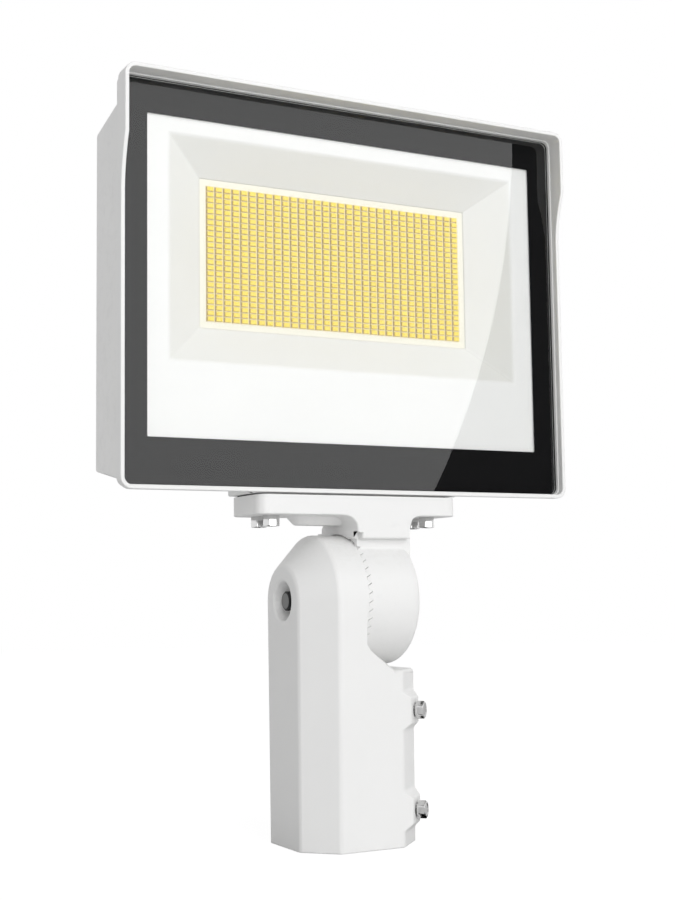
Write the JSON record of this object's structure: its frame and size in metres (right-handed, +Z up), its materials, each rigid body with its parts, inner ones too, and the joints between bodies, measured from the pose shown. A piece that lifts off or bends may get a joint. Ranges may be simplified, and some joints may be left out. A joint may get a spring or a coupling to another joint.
{
  "type": "led area flood light",
  "caption": "Slim rectangular LED flood light head with visor rim and clear lens on a toothed tilting knuckle and a clamp-on pole tenon slipfitter.",
  "frame": {"origin": "centre of the tenon socket's open end", "axes": "+X along the head to the viewer's right, +Y backwards away from the lens, +Z up the tenon"},
  "size_m": [0.287, 0.0756, 0.4259],
  "materials": {
    "white_coated_casting": "smooth white powder coat on die-cast aluminium",
    "stainless_steel": "plain stainless steel",
    "dark_steel": "blackened steel",
    "grey_silicone": "soft grey silicone",
    "white_silicone": "white silicone bead",
    "lens_glass": "clear tempered glass",
    "black_enamel": "black enamel fired onto the inner face of the glass",
    "white_sheet": "smooth white reflective sheet",
    "board_mask": "off-white mask on an aluminium-core board",
    "phosphor": "yellow phosphor faces of the light chips",
    "white_plastic": "off-white moulded plastic",
    "bare_aluminium": "bare folded aluminium",
    "circuit_board": "green circuit board",
    "transformer_tape": "yellow winding tape round a ferrite core",
    "capacitor_sleeve": "dark blue shrink sleeve",
    "black_lead": "black lead insulation",
    "red_lead": "red lead insulation",
    "green_lead": "green ground lead insulation",
    "black_rubber": "black rubber",
    "green_screw": "green ground screw",
    "grey_plastic": "grey moulded plastic"
  },
  "bodies": {
    "fitter": {"slipfitter_body": "white_coated_casting"},
    "upper_screw": {"clamp_screw_upper": "stainless_steel"},
    "lower_screw": {"clamp_screw_lower": "stainless_steel"},
    "pivot": {"pivot_bolt": "dark_steel", "pivot_lock_washer": "stainless_steel"},
    "head": {"upper_bracket": "white_coated_casting", "bracket_gasket": "grey_silicone", "head_bolts": "stainless_steel", "head_lock_washers": "stainless_steel", "housing": "white_coated_casting", "lens_glass": "lens_glass", "lens_border": "black_enamel", "lens_gasket": "white_silicone", "reflector": "white_sheet", "reflector_screws": "stainless_steel", "light_board": "board_mask", "light_chips": "phosphor", "board_screws": "stainless_steel", "board_connector": "white_plastic", "thermal_pad": "grey_silicone", "driver_case": "bare_aluminium", "driver_lid": "bare_aluminium", "driver_board": "circuit_board", "driver_transformer": "transformer_tape", "driver_capacitors": "capacitor_sleeve", "driver_pad": "grey_silicone", "driver_screws": "stainless_steel", "surge_protector": "capacitor_sleeve", "terminal_block": "white_plastic", "supply_leads": "black_lead", "ground_lead": "green_lead", "surge_leads": "black_lead", "driver_leads": "black_lead", "light_leads": "red_lead", "wire_grommet": "black_rubber", "ground_screw": "green_screw", "breather_vent": "grey_plastic", "vent_nut": "stainless_steel"}
  },
  "joints": [
    {"name": "tilt", "type": "hinge", "parent": "fitter", "child": "pivot", "pos_m": [0, 0, 0.1373], "axis": [1, 0, 0], "range_deg": [-90, 90]},
    {"name": "knuckle_release", "type": "slide", "parent": "pivot", "child": "head", "axis": [1, 0, 0], "range_m": [0, 0.0024]},
    {"name": "upper_clamp_travel", "type": "slide", "parent": "fitter", "child": "upper_screw", "axis": [0.7071, -0.7071, 0], "range_m": [-0.0011, 0.008]},
    {"name": "lower_clamp_travel", "type": "slide", "parent": "fitter", "child": "lower_screw", "axis": [0.7071, -0.7071, 0], "range_m": [-0.0011, 0.008]}
  ]
}
